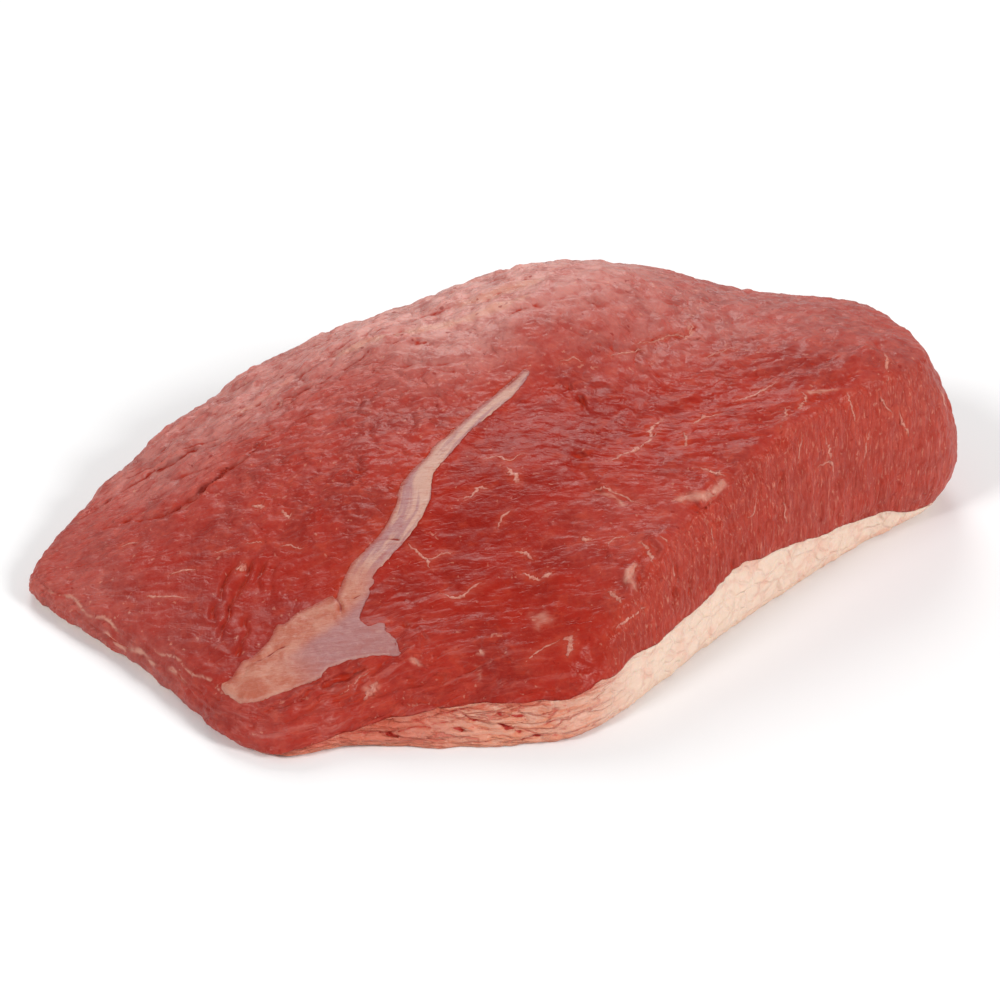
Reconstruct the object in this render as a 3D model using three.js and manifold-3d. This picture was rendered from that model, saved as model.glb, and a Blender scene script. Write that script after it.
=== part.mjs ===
// A raw picanha, the cap of a beef rump, lying on its fat with the lean side up.
// Millimetres, +Z up. The origin is under the middle of the piece, on the surface it lies on.
// +X runs from the thin tip to the thick end, and +Y from the trimmed front to the back.
// Three pieces: the lean, the fat cap under it, and the seam of fat and silverskin let into its top.
import * as THREE from 'three';
import { mergeVertices } from 'three/addons/utils/BufferGeometryUtils.js';
import Module from 'manifold-3d';

const wasm = await Module();
wasm.setup();

// Driving sizes
const gap = 0.3;             // clearance where two pieces touch
const steps = 96;            // steps round the piece
const heart = [4.5, 4];      // the middle that every section runs to
const innerFat = 10.5;       // thickness of the fat cap under the middle
const shoulder = 4.5;        // the higher this is, the squarer the shoulder over the brow
const markReach = 25;        // how far each height of the top spreads
const footRound = 2;         // how far the fat's foot is rounded in
const seamProud = 0.5;       // how far the seam stands over the lean
const seamDeep = 2;          // how deep it is let in

// Stations round the piece, counterclockwise from the thin tip.
//   foot   where the side meets the surface it lies on
//   fat    height of the fat that shows below the lean
//   brow   height of the edge between side and top
//   lean   how far the brow stands in from the foot
//   belly  how far the side swells out between them
//   tuck   how far the fat's own foot stands in
const stations = [
  { foot: [-135, -21], fat: 1.1, brow: 7.5, lean: 2, belly: 1, tuck: 7.5 },     // thin tip
  { foot: [-124.5, -35], fat: 1.1, brow: 8.5, lean: 3, belly: 1, tuck: 8.5 },
  { foot: [-94, -65.5], fat: 1.1, brow: 11.5, lean: 5, belly: 1.5, tuck: 7.5 }, // thin left edge
  { foot: [-73.5, -91], fat: 1.1, brow: 11.5, lean: 5.5, belly: 2, tuck: 5 },
  { foot: [-59, -100], fat: 1.4, brow: 13.5, lean: 11.5, belly: 1.5, tuck: 3 }, // front left corner
  { foot: [-44, -98], fat: 5, brow: 18, lean: 18, belly: -0.5, tuck: 3 },
  { foot: [-10.5, -97], fat: 10.5, brow: 22, lean: 19, belly: -1, tuck: 2 },    // trimmed front
  { foot: [14, -94], fat: 11.5, brow: 19, lean: 12.5, belly: 0, tuck: 1 },
  { foot: [25.5, -87.5], fat: 11.5, brow: 21, lean: 8.5, belly: 1, tuck: 1 },   // front right corner
  { foot: [35, -77], fat: 11.5, brow: 30.5, lean: 8.5, belly: 1, tuck: 1 },
  { foot: [48.5, -61], fat: 13.5, brow: 39, lean: 8.5, belly: 1, tuck: 1 },
  { foot: [75, -29.5], fat: 17, brow: 46.5, lean: 8.5, belly: 1, tuck: 1 },     // cut face
  { foot: [102.5, 1], fat: 8.5, brow: 52, lean: 7.5, belly: 2, tuck: 1 },
  { foot: [129, 24.5], fat: 3, brow: 51.5, lean: 8.5, belly: 7.5, tuck: 4 },    // thick end
  { foot: [131, 43.5], fat: 3, brow: 50.5, lean: 10.5, belly: 5.5, tuck: 3 },
  { foot: [117.5, 70.5], fat: 5, brow: 48.5, lean: 11.5, belly: 5, tuck: 2 },
  { foot: [88, 87.5], fat: 6.5, brow: 43.5, lean: 11.5, belly: 4, tuck: 1 },
  { foot: [50, 98], fat: 7.5, brow: 47.5, lean: 11.5, belly: 4, tuck: 1 },      // back
  { foot: [8.5, 99], fat: 7.5, brow: 49.5, lean: 13.5, belly: 4, tuck: 1 },
  { foot: [-37, 87.5], fat: 5.5, brow: 41, lean: 13.5, belly: 3, tuck: 1 },
  { foot: [-78, 69.5], fat: 4, brow: 31.5, lean: 11.5, belly: 3, tuck: 2 },
  { foot: [-110.5, 37], fat: 1.9, brow: 20, lean: 7.5, belly: 2, tuck: 5 },     // thin back edge
  { foot: [-127.5, 5], fat: 1.4, brow: 11.5, lean: 4, belly: 1.5, tuck: 6.5 },
];

// Heights of the top at named places, blended into one smooth surface.
const topMarks = [
  { at: [-119, -14], high: 15 },    // over the thin tip
  { at: [-91, -40], high: 20 },
  { at: [-60, -68], high: 20 },     // foot of the seam
  { at: [-20, -63], high: 29.5 },
  { at: [20, -59], high: 36 },      // over the front right corner
  { at: [-82, 0], high: 32.5 },
  { at: [-30, -10], high: 42 },     // along the seam
  { at: [27, -11], high: 46.5 },
  { at: [65, -5], high: 52 },
  { at: [105, 28], high: 62 },      // over the thick end
  { at: [80, 63], high: 57 },       // saddle
  { at: [20, 65], high: 66.5 },     // hump
  { at: [-25, 49], high: 55 },
  { at: [-72, 36], high: 39 },
];

// Outline of the seam seen from above: down the stem's right side, round the web of silverskin,
// round the arm of fat to the left edge, and back up the stem's left side.
const seamOutline = [
  [8, 18.5], [2, 8.5], [-12.5, -8.5], [-20, -21], [-20.5, -28.5], [-23, -36.5],
  [-28.5, -44.5], [-34.5, -51.5], [-36.5, -58], [-37, -65.5], [-32.5, -69.5], [-26.5, -79],
  [-38, -79], [-47, -82], [-55, -87], [-64.5, -88.5], [-72.5, -85.5], [-74, -80.5],
  [-69.5, -74], [-60, -64.5], [-51.5, -58.5], [-45, -57.5], [-39, -43.5], [-31.5, -33],
  [-28.5, -24.5], [-21, -12.5], [-7, 6], [4.5, 17.5],
];

// Section at one turn, from 0 to 1 round the piece
const closedCurve = (points, kind) => new THREE.CatmullRomCurve3(points, true, kind, 0.5);
const footCurve = closedCurve(stations.map(({ foot }) => new THREE.Vector3(...foot, 0)), 'centripetal');
const edgeCurve = closedCurve(stations.map((s) => new THREE.Vector3(s.fat, s.brow, s.lean)), 'catmullrom');
const swellCurve = closedCurve(stations.map((s) => new THREE.Vector3(s.belly, s.tuck, 0)), 'catmullrom');

function sectionAt(turn) {
  const foot = footCurve.getPoint(turn);
  const [fat, brow, lean] = edgeCurve.getPoint(turn).toArray();
  const [belly, tuck] = swellCurve.getPoint(turn).toArray();
  const inward = new THREE.Vector3(heart[0] - foot.x, heart[1] - foot.y, 0);
  const reach = inward.length();
  inward.normalize();
  const rim = lean * fat / brow;      // how far the lean's lower edge stands in
  const at = (inset, z) => foot.clone().addScaledVector(inward, inset).setZ(z);
  return { fat, brow, lean, belly, tuck, reach, rim, at };
}

function topHeight(x, y) {
  let sum = 0;
  let weight = 0;
  for (const { at, high } of topMarks) {
    const w = Math.exp(-((x - at[0]) ** 2 + (y - at[1]) ** 2) / (2 * markReach ** 2));
    sum += w * high;
    weight += w;
  }
  return sum / weight;
}

// Surfaces, each from its middle (t = 0) to its edge (t = 1) or down a side (t = 0 to 1)
function top(s, t) {
  const k = t * (1.4 - 0.4 * t);      // rows crowd towards the brow
  const p = s.at(s.reach - (s.reach - s.lean) * k, 0);
  return p.setZ(s.brow + (topHeight(p.x, p.y) - s.brow) * (1 - k ** shoulder));
}

function side(s, t) {
  const low = s.fat + gap;
  const q = 1 - t;
  const inset = s.rim + (s.lean - s.rim) * q - s.belly * Math.sin(Math.PI * q ** 0.75);
  return s.at(inset, low + (s.brow - low) * q);
}

function parting(s, t, lift) {        // where lean and fat cap meet
  const z = s.fat + (innerFat - s.fat) * (1 - t ** 3);
  return s.at(s.reach - (s.reach - s.rim) * t, z + lift);
}

function rind(s, t) {                 // the fat's side, down to its rounded foot
  const inset = s.rim + (s.tuck - s.rim) * t + footRound * t ** 6;
  return s.at(inset, s.fat * (1 - t));
}

function underside(s, t) {
  return s.at(s.reach - (s.reach - s.tuck - footRound) * t, 0);
}

// A closed skin: a ball whose rows of points are laid on the bands in turn, from the middle of
// the top to the middle of the underside. A band has its number of rows and lay(section, t).
function skin(bands) {
  const rows = bands.reduce((sum, band) => sum + band.rows, 0);
  const ball = new THREE.SphereGeometry(1, steps, rows);
  const position = ball.getAttribute('position');
  for (let i = 0; i < position.count; i++) {
    const column = i % (steps + 1) % steps;
    let row = Math.floor(i / (steps + 1));
    let band = 0;
    while (row > bands[band].rows) {
      row -= bands[band].rows;
      band += 1;
    }
    const p = bands[band].lay(sectionAt(column / steps), row / bands[band].rows);
    position.setXYZ(i, p.x, p.y, p.z);
  }
  return ball;
}

function leanSkin(lift) {
  return skin([
    { rows: 13, lay: top },
    { rows: 6, lay: side },
    { rows: 5, lay: (s, t) => parting(s, 1 - t, gap) },
  ]).translate(0, 0, lift);
}

function fatSkin() {
  return skin([
    { rows: 5, lay: (s, t) => parting(s, t, 0) },
    { rows: 4, lay: rind },
    { rows: 3, lay: (s, t) => underside(s, 1 - t) },
  ]);
}

// An upright block over the seam's outline, grown outwards
function seamBlock(grow) {
  const curve = closedCurve(seamOutline.map(([x, y]) => new THREE.Vector3(x, y, 0)), 'centripetal');
  const count = seamOutline.length * 3;
  const points = [];
  for (let i = 0; i < count; i++) {
    const p = curve.getPoint(i / count);
    const along = curve.getTangent(i / count);
    points.push(new THREE.Vector2(p.x - along.y * grow, p.y + along.x * grow));
  }
  return new THREE.ExtrudeGeometry(new THREE.Shape(points), { depth: 90, bevelEnabled: false });
}

// Cuts between closed meshes
function solid(geometry) {
  const bare = geometry.clone();
  bare.deleteAttribute('normal');
  bare.deleteAttribute('uv');
  const merged = mergeVertices(bare, 1e-3);
  return new wasm.Manifold(new wasm.Mesh({
    numProp: 3,
    vertProperties: new Float32Array(merged.getAttribute('position').array),
    triVerts: new Uint32Array(merged.getIndex().array),
  }));
}

function geometryOf(body) {
  const { vertProperties, triVerts } = body.getMesh();
  const geometry = new THREE.BufferGeometry();
  geometry.setAttribute('position', new THREE.BufferAttribute(vertProperties, 3));
  geometry.setIndex(new THREE.BufferAttribute(triVerts, 1));
  geometry.computeVertexNormals();
  return geometry;
}

const above = (block, lift) => block.subtract(solid(leanSkin(lift)));
const seamBody = above(solid(seamBlock(0)), -seamDeep).intersect(solid(leanSkin(seamProud)));
const leanBody = solid(leanSkin(0)).subtract(above(solid(seamBlock(gap)), -seamDeep - gap));

// The piece
const picanha = new THREE.Group();

function add(name, geometry, color, roughness) {
  const material = new THREE.MeshStandardMaterial({ color, roughness, metalness: 0 });
  const mesh = new THREE.Mesh(geometry, material);
  mesh.name = name;
  picanha.add(mesh);
}

add('lean', geometryOf(leanBody), 0xac4637, 0.4);
add('fat_cap', geometryOf(solid(fatSkin())), 0xe4bea4, 0.5);
add('seam', geometryOf(seamBody), 0xc8968a, 0.4);

const box = new THREE.Box3().setFromObject(picanha);
const middle = box.getCenter(new THREE.Vector3());
picanha.position.set(-middle.x, -middle.y, -box.min.z);

export default picanha;
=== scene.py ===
# A raw picanha on its fat: lean, fat cap, seam of fat and silverskin, and marbling, in a pale studio.
import math
import bpy
import bmesh
import numpy as np
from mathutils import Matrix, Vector, kdtree, noise
from mathutils.bvhtree import BVHTree


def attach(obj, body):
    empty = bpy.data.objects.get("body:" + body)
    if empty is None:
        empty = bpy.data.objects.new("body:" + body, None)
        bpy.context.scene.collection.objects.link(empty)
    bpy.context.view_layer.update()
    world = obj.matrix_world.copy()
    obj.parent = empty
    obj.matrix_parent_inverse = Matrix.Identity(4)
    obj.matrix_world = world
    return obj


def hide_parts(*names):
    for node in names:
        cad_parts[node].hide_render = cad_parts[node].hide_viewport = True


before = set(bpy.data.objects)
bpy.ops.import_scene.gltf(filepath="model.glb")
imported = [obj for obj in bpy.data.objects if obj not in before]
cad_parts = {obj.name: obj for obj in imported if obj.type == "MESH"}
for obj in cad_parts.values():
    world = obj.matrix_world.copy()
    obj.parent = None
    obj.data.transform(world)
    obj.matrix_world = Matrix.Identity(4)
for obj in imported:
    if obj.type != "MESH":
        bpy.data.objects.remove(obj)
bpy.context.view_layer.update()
print("frame loaded")

mm = 0.001
weld = 0.00001                   # m, points nearer than this are one
above = 200                      # mm, well over the meat
heart = np.array([4.5, 4.0])     # mm, the middle that the CAD's sections run to
noise.seed_set(7)                # vector noise is set by the clock otherwise, and strays anew in every run


# general helpers

def select(*objects):
    bpy.ops.object.select_all(action="DESELECT")
    for obj in objects:
        obj.select_set(True)
    bpy.context.view_layer.objects.active = objects[0]


def finishWith(obj, kind, **settings):      # adds a modifier and applies it
    select(obj)
    modifier = obj.modifiers.new(kind.title(), kind)
    for name, value in settings.items():
        setattr(modifier, name, value)
    bpy.ops.object.modifier_apply(modifier=modifier.name)


def copyOf(obj, name):
    select(obj)
    bpy.ops.object.duplicate()
    made = bpy.context.object
    made.name = name
    made.data.name = name
    return made


def pointsOf(obj):                          # mm
    co = np.empty(len(obj.data.vertices) * 3)
    obj.data.vertices.foreach_get("co", co)
    return co.reshape(-1, 3) / mm


def movePoints(obj, co):
    obj.data.vertices.foreach_set("co", (co * mm).ravel())
    obj.data.update()


def facingOf(obj):                          # unit normals of the vertices
    facing = np.empty(len(obj.data.vertices) * 3)
    obj.data.vertex_normals.foreach_get("vector", facing)
    return facing.reshape(-1, 3)


def ramp(x, low, high):                     # 0 below low, 1 above high, smooth between
    t = np.clip((x - low) / (high - low), 0, 1)
    return t * t * (3 - 2 * t)


def copyNodes(name, nodes, grow):
    parts = []
    for node in nodes:
        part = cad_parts[node].copy()
        part.data = part.data.copy()
        part.parent = None
        bpy.context.scene.collection.objects.link(part)
        select(part)
        bpy.ops.object.mode_set(mode="EDIT")
        bpy.ops.mesh.select_all(action="SELECT")
        bpy.ops.mesh.remove_doubles(threshold=weld)
        bpy.ops.object.mode_set(mode="OBJECT")
        finishWith(part, "DISPLACE", strength=grow * mm, mid_level=0)
        parts.append(part)
    select(*parts)
    bpy.ops.object.join()
    made = bpy.context.view_layer.objects.active
    made.name = name
    made.data.name = name
    for key in [k for k in made.keys() if k.startswith("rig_")]:     # a copy is no CAD node
        del made[key]
    return made


def treeOf(obj):
    return BVHTree.FromObject(obj, bpy.context.evaluated_depsgraph_get())


def setInOrder(obj):                        # faces in a fixed order, so that every run cuts and thins alike
    faces = [list(face.vertices) for face in obj.data.polygons]
    faces = sorted(face[face.index(min(face)):] + face[:face.index(min(face))] for face in faces)
    mesh = bpy.data.meshes.new(obj.name)
    mesh.from_pydata((pointsOf(obj) * mm).tolist(), [], faces)
    obj.data = mesh


def pointTreeOf(obj):
    tree = kdtree.KDTree(len(obj.data.vertices))
    for number, vertex in enumerate(obj.data.vertices):
        tree.insert(vertex.co, number)
    tree.balance()
    return tree


def dropOn(tree, x, y):                     # the point of a surface under x, y, in mm
    hit = tree.ray_cast(Vector((x * mm, y * mm, above * mm)), Vector((0, 0, -1)))[0]
    return None if hit is None else np.array(hit) / mm


def smoothPath(points, perLeg=6):           # Catmull-Rom through the points
    p = np.array(points, float)
    p = np.vstack([2 * p[0] - p[1], p, 2 * p[-1] - p[-2]])
    out = []
    for a, b, c, d in zip(p, p[1:], p[2:], p[3:]):
        for t in np.arange(perLeg) / perLeg:
            out.append(0.5 * (2 * b + (c - a) * t + (2 * a - 5 * b + 4 * c - d) * t * t
                              + (3 * b - a - 3 * c + d) * t ** 3))
    out.append(p[-2])
    return np.array(out)


def offPath(co, path):                      # seen from above, mm: off a path, to its left and along it
    best, side, along = np.full(len(co), 1e9), np.zeros(len(co)), np.zeros(len(co))
    walked = 0.0
    for a, b in zip(path, path[1:]):
        leg = (b - a)[:2]
        length = np.hypot(*leg)
        t = np.clip((co[:, :2] - a[:2]) @ leg / length ** 2, 0, 1)
        off = co[:, :2] - a[:2] - t[:, None] * leg
        d = np.linalg.norm(off, axis=1)
        closer = d < best
        best = np.where(closer, d, best)
        side = np.where(closer, (leg[0] * off[:, 1] - leg[1] * off[:, 0]) / length, side)
        along = np.where(closer, walked + t * length, along)
        walked += length
    return best, side, along


def onSurface(tree, path):                  # path points given as x, y drop on, as x, y, z snap on
    out = []
    for point in path:
        if len(point) == 2:
            out.append(dropOn(tree, *point))
        else:
            near = tree.find_nearest(Vector(point) * mm)[0]
            out.append(np.array(near) / mm)
    return np.array(out)


def pathField(co, facing, path, reach):     # distance, signed side (left is +) and share along, near a path
    low, high = path.min(0) - reach, path.max(0) + reach
    near = np.where(((co > low) & (co < high)).all(1))[0]
    p, n = co[near], facing[near]
    best = np.full(len(near), 1e9)
    side = np.zeros(len(near))
    along = np.zeros(len(near))
    legs = len(path) - 1
    for k in range(legs):
        a, leg = path[k], path[k + 1] - path[k]
        t = np.clip((p - a) @ leg / max(leg @ leg, 1e-9), 0, 1)
        off = p - a - t[:, None] * leg
        d = np.linalg.norm(off, axis=1)
        closer = d < best
        left = np.einsum("ij,ij->i", np.cross(n, leg / np.linalg.norm(leg)), off)
        best = np.where(closer, d, best)
        side = np.where(closer, left, side)
        along = np.where(closer, (k + t) / legs, along)
    return near, best, side, along


# the whole body: the CAD solids made one skin, fine enough to carve

body = {
    "grow": 0.35,        # mm, closes the gaps between the solids
    "voxel": 1.75,       # mm
    "smoothing": 4,
    "levels": 2,
}
whole = copyNodes("whole", ["lean", "fat_cap", "seam"], body["grow"])
finishWith(whole, "REMESH", mode="VOXEL", voxel_size=body["voxel"] * mm)
finishWith(whole, "SMOOTH", factor=0.5, iterations=body["smoothing"])
finishWith(whole, "SUBSURF", levels=body["levels"], render_levels=body["levels"])
print("whole body", len(whole.data.polygons), "faces")

# the parting: how high lean and fat cap meet, over a grid seen from above
parting = {
    "cell": 1.6, "size": (300, 230),        # mm
    "inward": 0.012,                        # step to the heart, as a share, until the cap has a top there
    "rounds": 6,                            # of smoothing
    "reach": 5,                             # mm, how far a mark pulls
    "ragged": (0.3, 4), "wavy": (0.6, 13),  # height and length in mm
    "foot": -20,                            # mm, the under side of the block that cuts there
}
partingMarks = [                            # x, y, z in mm where meat and fat meet on the cut sides
    (-53, -97, 4), (-44, -95, 4), (-38, -92, 6), (-30, -91, 8), (-22, -90, 8), (-15, -89, 10), (-10, -88, 11),
    (3, -87, 11), (17, -86, 11), (24, -82, 15), (35, -72, 16), (40, -66, 14), (45, -60, 16), (53, -51, 16),
    (60, -42, 18), (65, -36, 21), (77, -24, 17), (85, -15, 15), (97, -3, 12), (104, 3, 10), (111, 8, 10),
    (122, 17, 5),
]


def noiseField(vectors, kind, *settings):
    return np.array([kind(v, *settings) for v in vectors.tolist()])


def fractal(vectors, octaves=4):
    return noiseField(vectors, noise.fractal, 0.9, 2.1, octaves)


def billows(vectors, octaves=3):            # rounded humps parted by sharp creases, 0 in the creases
    return np.array([noise.turbulence(v, octaves, True, amplitude_scale=0.45, frequency_scale=2.1)
                     for v in vectors.tolist()]) - 0.37


def readGrid(xs, ys, field, co):
    step = xs[1] - xs[0]
    gx = np.clip((co[:, 0] - xs[0]) / step, 0, len(xs) - 1.001)
    gy = np.clip((co[:, 1] - ys[0]) / step, 0, len(ys) - 1.001)
    i, j = gx.astype(int), gy.astype(int)
    fx, fy = gx - i, gy - j
    return (field[i, j] * (1 - fx) * (1 - fy) + field[i + 1, j] * fx * (1 - fy)
            + field[i, j + 1] * (1 - fx) * fy + field[i + 1, j + 1] * fx * fy)


def partingGrid():
    cap = treeOf(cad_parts["fat_cap"])
    xs = np.arange(-parting["size"][0] / 2, parting["size"][0] / 2 + 0.1, parting["cell"])
    ys = np.arange(-parting["size"][1] / 2, parting["size"][1] / 2 + 0.1, parting["cell"])
    heights = np.zeros((len(xs), len(ys)))
    for i, x in enumerate(xs):
        for j, y in enumerate(ys):
            share, hit = 1.0, None
            while hit is None:
                at = heart + (np.array([x, y]) - heart) * share
                spot, normal, _, _ = cap.ray_cast(Vector((*at, above)) * mm, Vector((0, 0, -1)))
                if spot is not None and normal.z > 0.8:
                    hit = spot.z / mm
                share -= parting["inward"]
            heights[i, j] = hit
    for _ in range(parting["rounds"]):
        edged = np.pad(heights, 1, mode="edge")
        heights = (edged[:-2, 1:-1] + edged[2:, 1:-1] + edged[1:-1, :-2] + edged[1:-1, 2:]) / 4
    flat = np.stack([*np.meshgrid(xs, ys, indexing="ij"), np.zeros(heights.shape)], 2).reshape(-1, 3)
    marks = np.array(partingMarks, float)
    misses = marks[:, 2] - readGrid(xs, ys, heights, marks)
    weights = np.exp(-((flat[:, None, :2] - marks[None, :, :2]) ** 2).sum(2) / (2 * parting["reach"] ** 2))
    moved = (weights * misses).sum(1) / np.maximum(weights.sum(1), 1)
    heights = heights + moved.reshape(heights.shape)
    (wavy, wavyLength), (ragged, raggedLength) = parting["wavy"], parting["ragged"]
    rough = wavy * fractal(flat / wavyLength, 2) + ragged * fractal(flat / raggedLength, 3)
    return xs, ys, heights + rough.reshape(heights.shape)


partingField = partingGrid()
print("parting found")

# where the grain runs, seen from above: at x, y in mm, turned so many degrees from +X
grainMarks = [
    (-49, -11, -21), (-30, 14, -26), (-72, -6, -11), (-116, -10, 20), (-89, 21, 32), (-60, 39, 37),
    (-31, 46, 21), (-7, 46, 22), (11, 53, 3), (28, 39, -29), (46, 44, -33), (64, 45, -15), (33, 14, -25),
    (55, -7, 3), (73, 4, 17), (97, 27, 37), (27, -16, -19), (-1, -31, -8), (-6, -58, -18), (15, -53, -6),
    (-83, -47, -20), (-66, -59, -12), (-48, -43, -14), (-108, -28, 3), (-33, -85, 21), (-6, -85, 18),
    (-46, -90, 30), (-112, -44, -40), (-90, -65, -44), (-72, -86, -42), (-102, 0, 30), (-15, 3, -20),
    (37, -51, -21), (15, -76, 5), (-100, 40, 45), (-50, 80, 25), (10, 95, 0), (60, 85, -20), (110, 60, -40),
]
grainGrid = {"size": (306, 234), "step": 6, "reach": 12, "straight": 2}     # mm, but for straight


def slopesOf(field, step):                  # along X and along Y, in the middle of each cell of a grid
    a, b, c, d = field[:-1, :-1], field[1:, :-1], field[:-1, 1:], field[1:, 1:]
    return (b + d - a - c) / (2 * step), (c + d - a - b) / (2 * step)


def gathered(alongX, alongY, step):         # the other way round: what each corner adds to those slopes
    out = np.zeros((alongX.shape[0] + 1, alongX.shape[1] + 1))
    out[:-1, :-1] -= alongX + alongY
    out[1:, :-1] += alongX - alongY
    out[:-1, 1:] += alongY - alongX
    out[1:, 1:] += alongX + alongY
    return out / (2 * step)


def fittedField(runX, runY, step, down, over, firm):    # conjugate gradients
    # firm: how much more the slope down the grain counts than the one over it
    def weighedSlopes(alongX, alongY):
        downGrain, overGrain = firm ** 2 * (runX * alongX + runY * alongY), runX * alongY - runY * alongX
        return gathered(runX * downGrain - runY * overGrain, runY * downGrain + runX * overGrain, step)

    left = weighedSlopes(runX * down - runY * over, runY * down + runX * over)
    field, going = np.zeros(left.shape), left.copy()
    size = (left ** 2).sum()
    enough = size * 1e-12
    while size > enough:
        pushed = weighedSlopes(*slopesOf(going, step))
        share = size / (going * pushed).sum()
        field += share * going
        left -= share * pushed
        size, before = (left ** 2).sum(), size
        going = left + size / before * going
    return field


def grainFields():                          # mm along and across the fibres, over a grid
    step = grainGrid["step"]
    xs, ys = (np.arange(-size / 2, size / 2 + 1, step) for size in grainGrid["size"])
    midX, midY = np.meshgrid(xs[:-1] + step / 2, ys[:-1] + step / 2, indexing="ij")
    runX, runY = np.full(midX.shape, 1e-9), np.zeros(midX.shape)
    for x, y, turn in grainMarks:
        w = np.exp(-((midX - x) ** 2 + (midY - y) ** 2) / (2 * grainGrid["reach"] ** 2))
        runX += w * math.cos(math.radians(turn))
        runY += w * math.sin(math.radians(turn))
    size = np.hypot(runX, runY)
    runX, runY = runX / size, runY / size
    along = fittedField(runX, runY, step, 1, 0, 1)
    across = fittedField(runX, runY, step, 0, 1, grainGrid["straight"])
    return xs, ys, [along, across]


grain = grainFields()

# the seam's outline in mm seen from above: down its right side, along the foot of its web, up its left side
seamEdge = {
    "right": [(7.5, 17.5), (6, 14.5), (2, 9), (-4.5, 2), (-10, -4.5), (-12.5, -8.5), (-17.5, -16),
        (-19, -18.5), (-20, -22.5), (-20.5, -29.5), (-24.5, -38.5), (-29.5, -45), (-34, -50.5), (-35.5, -53),
        (-35, -55), (-36.5, -57), (-36, -58), (-37.5, -62.5), (-38.5, -66.5), (-37.5, -68.5), (-35.5, -70),
        (-33.5, -69), (-31.5, -69), (-31.5, -71.5), (-29, -74), (-27.5, -78.5), (-27, -79.5)],
    "foot": [(-30.5, -79), (-35.5, -79), (-40.5, -79.5), (-45, -81), (-46.5, -81.5), (-48.5, -84),
        (-54, -86.5), (-59, -88), (-65.5, -89), (-70, -87.5), (-73, -84.5), (-75, -81.5)],
    "left": [(-72.5, -80.5), (-70.5, -77.5), (-69.5, -75), (-67, -74.5), (-62.5, -69), (-61, -64),
        (-58.5, -64), (-56, -61), (-50, -58.5), (-47, -57), (-45, -58.5), (-44, -54), (-41.5, -47.5),
        (-37.5, -43), (-33, -37.5), (-29.5, -29), (-29, -24.5), (-26.5, -19), (-21.5, -13), (-19, -8),
        (-14, -3), (-6, 7), (3, 15.5), (5.5, 18.5), (7, 18.5)],
    "middle": [(7, 18), (-4, 6), (-16, -9), (-24, -21), (-26, -34), (-36, -48), (-41, -60), (-52, -70),
        (-74, -84)],
}
seamLook = {
    "proud": 0.25, "deep": 1.0,             # mm, over and under the skin
    "ragged": 0.3, "spacing": 0.6,          # mm, of the outline
    "cut": (7, 90),                         # mm, heights between which the outline cuts
    "stemFrom": 10,                         # the point of the left side where the stem begins
}


def seamOutline():
    points = seamEdge["right"] + seamEdge["foot"] + seamEdge["left"]
    kept = []
    for p in smoothPath([(*p, 0) for p in points + points[:1]], 8)[:-1]:
        if not kept or np.linalg.norm(p - kept[-1]) > seamLook["spacing"]:
            kept.append(p)
    ragged = []
    for p in kept:
        at = Vector(p) * 0.9
        push = np.array([noise.noise(at), noise.noise(at + Vector((9, 9, 9))), 0])
        ragged.append(p + seamLook["ragged"] * push)
    return ragged


def insideOf(co, outline):
    inside = np.zeros(len(co), bool)
    corners = np.array(outline)[:, :2]
    low, high = corners.min(0), corners.max(0)
    near = np.where(((co[:, :2] > low) & (co[:, :2] < high)).all(1) & (co[:, 2] > 5))[0]
    x, y = co[near, 0], co[near, 1]
    hits = np.zeros(len(near), int)
    for (ax, ay), (bx, by) in zip(corners, np.roll(corners, -1, axis=0)):
        if ay != by:
            hits += ((ay > y) != (by > y)) & (x < ax + (y - ay) * (bx - ax) / (by - ay))
    inside[near] = hits % 2 == 1
    return inside


outline = seamOutline()

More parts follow.
